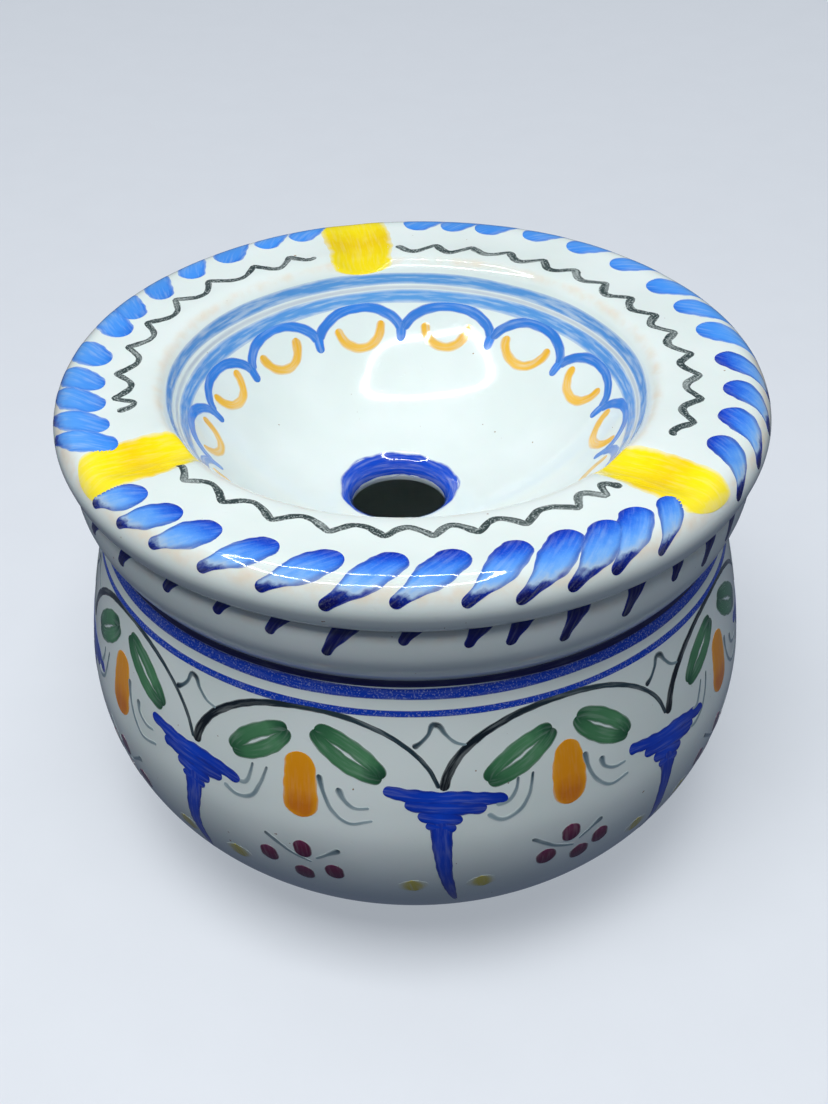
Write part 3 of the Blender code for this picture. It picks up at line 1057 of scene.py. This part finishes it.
def paint_arches():
    arches = Paint(
        "pot_arches", "pot", "arch_ink",
        [(0.0, 6, 14, 20), (0.3, 18, 32, 40), (0.65, 44, 64, 72), (1.0, 28, 48, 58)],
        pool=(10, 22, 30), pool_strength=0.5, streak=0.2, fade=0.28, edge=(0.72, 1.05))
    shape = ((0.0, 22.6, 1.05), (0.02, 19.0, 0.95), (0.065, 15.4, 0.88), (0.15, 11.8, 0.8),
             (0.26, 9.2, 0.72), (0.39, 7.8, 0.66), (0.53, 7.5, 0.62), (0.67, 8.6, 0.56),
             (0.79, 10.9, 0.5), (0.88, 14.0, 0.46), (0.95, 18.0, 0.44), (0.985, 22.0, 0.42))
    for left, right in spans(COLUMNS):
        drop = jitter(0.25)
        arches.stroke([(left + (right - left) * share, s + drop * math.sin(math.pi * share), half)
                       for share, s, half in shape], wobble=0.08)
    arches.build()
    fine = Paint(
        "pot_fine_lines", "pot", "thin_grey",
        [(0.0, 52, 72, 82), (0.15, 108, 130, 138), (1.0, 148, 170, 176)],
        streak=0.3, fade=0.6, edge=(0.4, 1.05))
    spandrels = Paint(
        "pot_spandrel_lines", "pot", "spandrel_grey",
        [(0.0, 24, 38, 48), (0.14, 70, 92, 102), (0.36, 76, 98, 108), (0.5, 24, 40, 50),
         (0.62, 92, 116, 124), (1.0, 136, 160, 166)],
        streak=0.25, fade=0.5, edge=(0.5, 1.05))
    peak = ((-4.9, 13.3, 0.78), (-3.9, 12.6, 0.5), (-2.5, 10.8, 0.42), (-1.5, 8.7, 0.6),
            (-0.9, 8.9, 0.62), (0.2, 10.7, 0.4), (2.0, 12.7, 0.34), (3.9, 13.4, 0.28))
    for column in COLUMNS:
        spandrels.stroke(moved(peak, column + jitter(0.5)), wobble=0.12, step=0.35)
    spandrels.build()
    return fine


def paint_columns():
    columns = Paint(
        "pot_columns", "pot", "column_cobalt",
        [(0.0, 0, 52, 178), (0.5, 0, 66, 200), (1.0, 0, 46, 166)],
        pool=(0, 30, 132), pool_strength=0.65, streak=0.12, fade=0.12, edge=(0.84, 1.05))
    for number, column in enumerate(COLUMNS):
        lean, down, tip = ((-0.7, 0.6, -2.6), (0.6, 0.0, 2.4), (0.5, 2.0, 0.0))[number % 3]
        drop = jitter(0.4) + down
        bars = (
            ((-9.9 + lean, 22.6, 1.2), (-4.0, 23.9, 1.5), (3.0, 24.6, 1.45), (9.6 + lean, 26.2, 1.2)),
            ((-6.6 + lean, 25.6, 1.2), (0.0, 26.6, 1.6), (6.2 + lean, 27.4, 1.3)),
            ((-4.0, 28.0, 1.1), (-0.5, 28.9, 1.5), (3.0, 29.6, 1.1)),
            ((-2.8, 30.4, 0.9), (2.0, 31.4, 1.0)),
        )
        for bar in bars:
            columns.stroke(moved(bar, column, drop), wobble=0.14)
        shaft = ((-0.4, 29.0 + drop, 2.5), (-0.4, 32.0 + drop, 2.1), (-0.5 + tip * 0.15, 37.0, 1.75),
                 (-0.6 + tip * 0.4, 44.0, 1.4), (tip * 0.6, 51.0, 0.95), (tip * 1.05, 57.0, 0.35))
        columns.stroke(moved(shaft, column), wobble=0.06)
    columns.build()


def paint_motifs(fine):
    """Leaves, petal, curls, berries and stems under the arches, and the dabs beside the columns."""
    leaves = Paint(
        "pot_leaves", "pot", "leaf_green",
        [(0.0, 36, 86, 56), (0.25, 66, 124, 82), (0.7, 82, 140, 96),
         (0.88, 46, 100, 66), (1.0, 26, 70, 46)],
        pool=(42, 92, 58), pool_strength=0.5, streak=0.14, fade=0.4, edge=(0.8, 1.05))
    petals = Paint(
        "pot_petals", "pot", "petal_ochre",
        [(0.0, 238, 156, 4), (0.55, 236, 150, 4), (0.8, 214, 122, 6),
         (0.92, 216, 124, 6), (1.0, 234, 146, 6)],
        pool=(246, 170, 14), pool_strength=0.6, streak=0.05, fade=0.4, edge=(0.88, 1.05))
    berries = Paint(
        "pot_berries", "pot", "berry_plum",
        [(0.0, 122, 44, 84), (0.4, 108, 22, 64), (1.0, 84, 20, 62)],
        pool=(80, 10, 48), pool_strength=0.5, streak=0.10, fade=0.4, edge=(0.84, 1.05))
    dabs = Paint(
        "pot_dabs", "pot", "olive_dab",
        [(0.0, 214, 202, 96), (1.0, 206, 192, 80)],
        streak=0.4, fade=0.9, edge=(0.3, 1.0))
    for number, (left, right) in enumerate(spans(COLUMNS)):
        middle = left + (right - left) * (0.458, 0.490)[number % 2] + jitter(0.2)
        left_leaf, right_leaf, spread = LEAVES[number % 2]
        for start, end in (left_leaf, right_leaf):
            nudge = jitter(0.5)
            ends = ((middle + start[0], start[1] + nudge), (middle + end[0], end[1] + nudge))
            leaves.stroke(bow(*ends, 1.85, 1.55), wobble=0.07)
            leaves.stroke(bow(*ends, -1.85, 1.55), wobble=0.07)
        petal = middle + jitter(0.4)
        top_half = 2.1 if number % 2 else 3.0
        shape = ((-0.2, 16.6, top_half), (0.0, 20.5, 3.1), (0.1, 26.0, 3.45), (0.1, 31.0, 3.3))
        petals.stroke(moved(shape, petal), wobble=0.04)
        for curl in CURLS:
            fine.stroke([(middle + turn * (1.0 + jitter(0.04)), s + jitter(0.2), half)
                         for turn, s, half in curl], wobble=0.1, step=0.35)
        for turn, level in spread:
            angle = petal + turn + jitter(0.3)
            size = 1.85 + jitter(0.15)
            berry = ((-0.2, -2.4, size), (0.0, 0.0, size * 1.06), (0.2, 2.4, size))
            berries.stroke(moved(berry, angle, level + jitter(0.3)), wobble=0.05, lift=OVER_STEMS)
        for stem in STEMS:
            fine.stroke(moved(stem, petal), wobble=0.1, step=0.35)
        for turn in (-5.2, 6.7):
            dab = ((-0.3, 46.0, 2.5), (0.0, 48.2, 2.9), (0.3, 50.4, 2.5))
            dabs.stroke(moved(dab, left + turn + jitter(0.4)), wobble=0.1)
    for paint in (leaves, petals, berries, dabs):
        paint.build()


# ---------- Room, light and camera ----------

def area_light(name, place, size, power, aim, colour=(1.0, 1.0, 1.0)):
    """A rectangular soft light without a reflection of its own; place, size and aim are in metres."""
    light = bpy.data.lights.new(name, "AREA")
    light.shape = "RECTANGLE"
    light.size, light.size_y = size
    light.energy = power
    light.color = colour
    lamp = bpy.data.objects.new(name, light)
    lamp.location = place
    lamp.rotation_mode = "QUATERNION"
    lamp.rotation_quaternion = (Vector(aim) - Vector(place)).to_track_quat("-Z", "Y")
    lamp.visible_glossy = False
    bpy.context.scene.collection.objects.link(lamp)


def make_lights():
    """One large soft box overhead and weak fills all round."""
    area_light("soft_box", (-0.09, -0.33, 0.98), (0.58, 0.52), 10.0, (0.0, 0.0, 0.08))
    fills = (
        ("front_fill", (-0.35, -1.10, 0.70), 0.25),
        ("back_left_fill", (-0.95, 0.85, 0.60), 2.6),
        ("back_right_fill", (0.95, 0.85, 0.60), 2.6),
        ("right_fill", (1.25, -0.25, 0.45), 0.9),
    )
    for name, place, power in fills:
        area_light(name, place, (0.8, 0.7), power, (0.0, 0.0, 0.05), colour=(0.90, 0.95, 1.0))


def room_piece(name, vertices, faces, material):
    """Something of the room, in metres, which isn't part of the object."""
    mesh = bpy.data.meshes.new(name)
    mesh.from_pydata(vertices, [], faces)
    mesh.materials.append(material)
    piece = bpy.data.objects.new(name, mesh)
    bpy.context.scene.collection.objects.link(piece)
    return piece


def make_ring_lamp():
    """A thin glowing tube bent to a rounded rectangle, which only shows as its own reflection."""
    centre = Vector((-0.085, -0.105, 0.520))
    across = 0.200
    deep = 0.155
    tube = 0.0045
    squareness = 0.6
    rows = 72
    sides = 8
    vertices = []
    for i in range(rows):
        turn = 2.0 * math.pi * i / rows
        x = across * math.copysign(abs(math.cos(turn)) ** squareness, math.cos(turn))
        y = deep * math.copysign(abs(math.sin(turn)) ** squareness, math.sin(turn))
        outwards = Vector((x / across ** 2, y / deep ** 2, 0.0)).normalized()
        for j in range(sides):
            bend = 2.0 * math.pi * j / sides
            point = Vector((x, y, tube * math.sin(bend))) + outwards * tube * math.cos(bend)
            vertices.append(centre + point)
    nodes = Nodes("ring_lamp_glow")
    nodes.shader.inputs["Base Color"].default_value = (0.0, 0.0, 0.0, 1.0)
    nodes.shader.inputs["Emission Color"].default_value = (1.0, 1.0, 1.0, 1.0)
    nodes.shader.inputs["Emission Strength"].default_value = 70.0
    lamp = room_piece("ring_lamp", vertices, tube_faces(rows, sides, closed=True), nodes.material)
    lamp.visible_camera = False
    lamp.visible_diffuse = False
    lamp.visible_shadow = False


def make_world():
    world = bpy.data.worlds.new("pale_room")
    bpy.context.scene.world = world
    world.use_nodes = True
    background = world.node_tree.nodes["Background"]
    background.inputs["Color"].default_value = (0.58, 0.70, 1.0, 1.0)
    background.inputs["Strength"].default_value = 0.13


def make_floor():
    """A pale round sweep: flat under the object and rising far away on every side.

    It glows a little, to keep its far side pale. The glaze neither mirrors it nor takes bounced
    light from it, which keeps the shaded belly as deep in tone as over a dark stand.
    """
    profile = ((0.6, 0.0), (1.2, 0.0), (1.7, 0.0), (2.1, 0.05), (2.4, 0.20), (2.65, 0.50), (2.8, 1.0),
               (2.85, 2.6))
    turns = 96
    vertices = [(0.0, 0.0, 0.0)]
    for radius, height in profile:
        for i in range(turns):
            turn = 2.0 * math.pi * i / turns
            vertices.append((radius * math.cos(turn), radius * math.sin(turn), height))
    faces = [(0, 1 + i, 1 + (i + 1) % turns) for i in range(turns)]
    faces += tube_faces(len(profile), turns, closed=False, first=1)
    nodes = Nodes("floor_paper")
    grain = nodes.noise(nodes.object_place(), 60.0, 4.0)
    paper = nodes.mix(grain, rgb(170, 173, 177), rgb(175, 178, 182))
    nodes.link(paper, nodes.shader.inputs["Base Color"])
    nodes.shader.inputs["Roughness"].default_value = 0.75
    nodes.shader.inputs["Emission Color"].default_value = (0.80, 0.86, 0.93, 1.0)
    nodes.shader.inputs["Emission Strength"].default_value = 0.40
    floor = room_piece("floor", vertices, faces, nodes.material)
    floor.data.shade_smooth()
    floor.visible_glossy = False
    floor.visible_diffuse = False


def make_camera():
    """Looks down on the front of the object from about a third of a metre away."""
    place = (0.0, -0.2857, 0.27236)
    downwards = math.radians(36.74)
    lean = math.radians(-0.76)
    data = bpy.data.cameras.new("camera")
    data.sensor_fit = "VERTICAL"
    data.sensor_height = 36.0
    data.lens = 55.43
    data.clip_start = 0.01
    camera = bpy.data.objects.new("camera", data)
    pitch = Matrix.Rotation(math.pi / 2.0 - downwards, 4, "X")
    roll = Matrix.Rotation(lean, 4, "Z")
    camera.matrix_world = Matrix.Translation(place) @ pitch @ roll
    bpy.context.scene.collection.objects.link(camera)
    bpy.context.scene.camera = camera


def main():
    make_camera()
    make_lid(white_glaze("lid_tin_glaze"))
    make_pot(white_glaze("pot_tin_glaze"))
    paint_lid_rim()
    paint_rests()
    paint_waves()
    paint_funnel()
    paint_hole()
    paint_pot_rim()
    paint_pot_lines()
    fine = paint_arches()
    paint_columns()
    paint_motifs(fine)
    fine.build()
    make_lights()
    make_ring_lamp()
    make_world()
    make_floor()
    bpy.context.scene.view_settings.view_transform = "Standard"


main()
